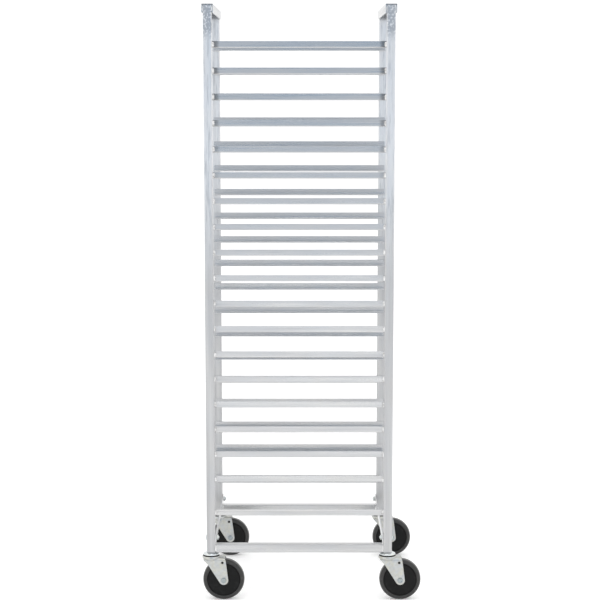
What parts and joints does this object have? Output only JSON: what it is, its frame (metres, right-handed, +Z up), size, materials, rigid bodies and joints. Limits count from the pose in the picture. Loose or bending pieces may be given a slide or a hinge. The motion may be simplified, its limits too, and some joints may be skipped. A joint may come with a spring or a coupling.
{
  "type": "sheet pan rack",
  "caption": "Tall open aluminium rack with rows of angle slides for sheet pans, loaded from the ends, on swivel casters.",
  "frame": {"origin": "on the floor, under the middle of the rack's bounding box with the casters trailing to +X", "axes": "+Z up, X along the slides (the way a pan slides in), Y across from the front ladder (-Y) to the rear ladder (+Y)"},
  "size_m": [0.6614, 0.5436, 1.778],
  "materials": {
    "aluminium": "mill finish, lightly brushed along each piece",
    "zinc_steel": "bright zinc plated, slightly mottled",
    "black_polymer": "moulded black, semi-matte"
  },
  "bodies": {
    "root": {"upright_front_left": "aluminium", "upright_front_right": "aluminium", "upright_rear_left": "aluminium", "upright_rear_right": "aluminium", "bottom_rail_front": "aluminium", "bottom_rail_rear": "aluminium", "top_channel_left": "aluminium", "top_channel_right": "aluminium", "bottom_brace_left": "aluminium", "bottom_brace_right": "aluminium", "slide_front_01": "aluminium", "slide_front_02": "aluminium", "slide_front_03": "aluminium", "slide_front_04": "aluminium", "slide_front_05": "aluminium", "slide_front_06": "aluminium", "slide_front_07": "aluminium", "slide_front_08": "aluminium", "slide_front_09": "aluminium", "slide_front_10": "aluminium", "slide_front_11": "aluminium", "slide_front_12": "aluminium", "slide_front_13": "aluminium", "slide_front_14": "aluminium", "slide_front_15": "aluminium", "slide_front_16": "aluminium", "slide_front_17": "aluminium", "slide_front_18": "aluminium", "slide_front_19": "aluminium", "slide_rear_01": "aluminium", "slide_rear_02": "aluminium", "slide_rear_03": "aluminium", "slide_rear_04": "aluminium", "slide_rear_05": "aluminium", "slide_rear_06": "aluminium", "slide_rear_07": "aluminium", "slide_rear_08": "aluminium", "slide_rear_09": "aluminium", "slide_rear_10": "aluminium", "slide_rear_11": "aluminium", "slide_rear_12": "aluminium", "slide_rear_13": "aluminium", "slide_rear_14": "aluminium", "slide_rear_15": "aluminium", "slide_rear_16": "aluminium", "slide_rear_17": "aluminium", "slide_rear_18": "aluminium", "slide_rear_19": "aluminium", "caster_front_left_stem": "zinc_steel", "caster_front_right_stem": "zinc_steel", "caster_rear_left_stem": "zinc_steel", "caster_rear_right_stem": "zinc_steel"},
    "caster_front_left_fork_body": {"caster_front_left_fork": "zinc_steel"},
    "caster_front_left_wheel_body": {"caster_front_left_wheel": "black_polymer"},
    "caster_front_right_fork_body": {"caster_front_right_fork": "zinc_steel"},
    "caster_front_right_wheel_body": {"caster_front_right_wheel": "black_polymer"},
    "caster_rear_left_fork_body": {"caster_rear_left_fork": "zinc_steel"},
    "caster_rear_left_wheel_body": {"caster_rear_left_wheel": "black_polymer"},
    "caster_rear_right_fork_body": {"caster_rear_right_fork": "zinc_steel"},
    "caster_rear_right_wheel_body": {"caster_rear_right_wheel": "black_polymer"}
  },
  "joints": [
    {"name": "caster_front_left_swivel", "type": "hinge", "parent": "root", "child": "caster_front_left_fork_body", "pos_m": [-0.3032, -0.24447, 0.137], "axis": [0, 0, 1], "continuous": true},
    {"name": "caster_front_left_roll", "type": "hinge", "parent": "caster_front_left_fork_body", "child": "caster_front_left_wheel_body", "pos_m": [-0.2652, -0.24447, 0.0625], "axis": [0, 1, 0], "continuous": true},
    {"name": "caster_front_right_swivel", "type": "hinge", "parent": "root", "child": "caster_front_right_fork_body", "pos_m": [0.2302, -0.24447, 0.137], "axis": [0, 0, 1], "continuous": true},
    {"name": "caster_front_right_roll", "type": "hinge", "parent": "caster_front_right_fork_body", "child": "caster_front_right_wheel_body", "pos_m": [0.2682, -0.24447, 0.0625], "axis": [0, 1, 0], "continuous": true},
    {"name": "caster_rear_left_swivel", "type": "hinge", "parent": "root", "child": "caster_rear_left_fork_body", "pos_m": [-0.3032, 0.24447, 0.137], "axis": [0, 0, 1], "continuous": true},
    {"name": "caster_rear_left_roll", "type": "hinge", "parent": "caster_rear_left_fork_body", "child": "caster_rear_left_wheel_body", "pos_m": [-0.2652, 0.24447, 0.0625], "axis": [0, 1, 0], "continuous": true},
    {"name": "caster_rear_right_swivel", "type": "hinge", "parent": "root", "child": "caster_rear_right_fork_body", "pos_m": [0.2302, 0.24447, 0.137], "axis": [0, 0, 1], "continuous": true},
    {"name": "caster_rear_right_roll", "type": "hinge", "parent": "caster_rear_right_fork_body", "child": "caster_rear_right_wheel_body", "pos_m": [0.2682, 0.24447, 0.0625], "axis": [0, 1, 0], "continuous": true}
  ]
}
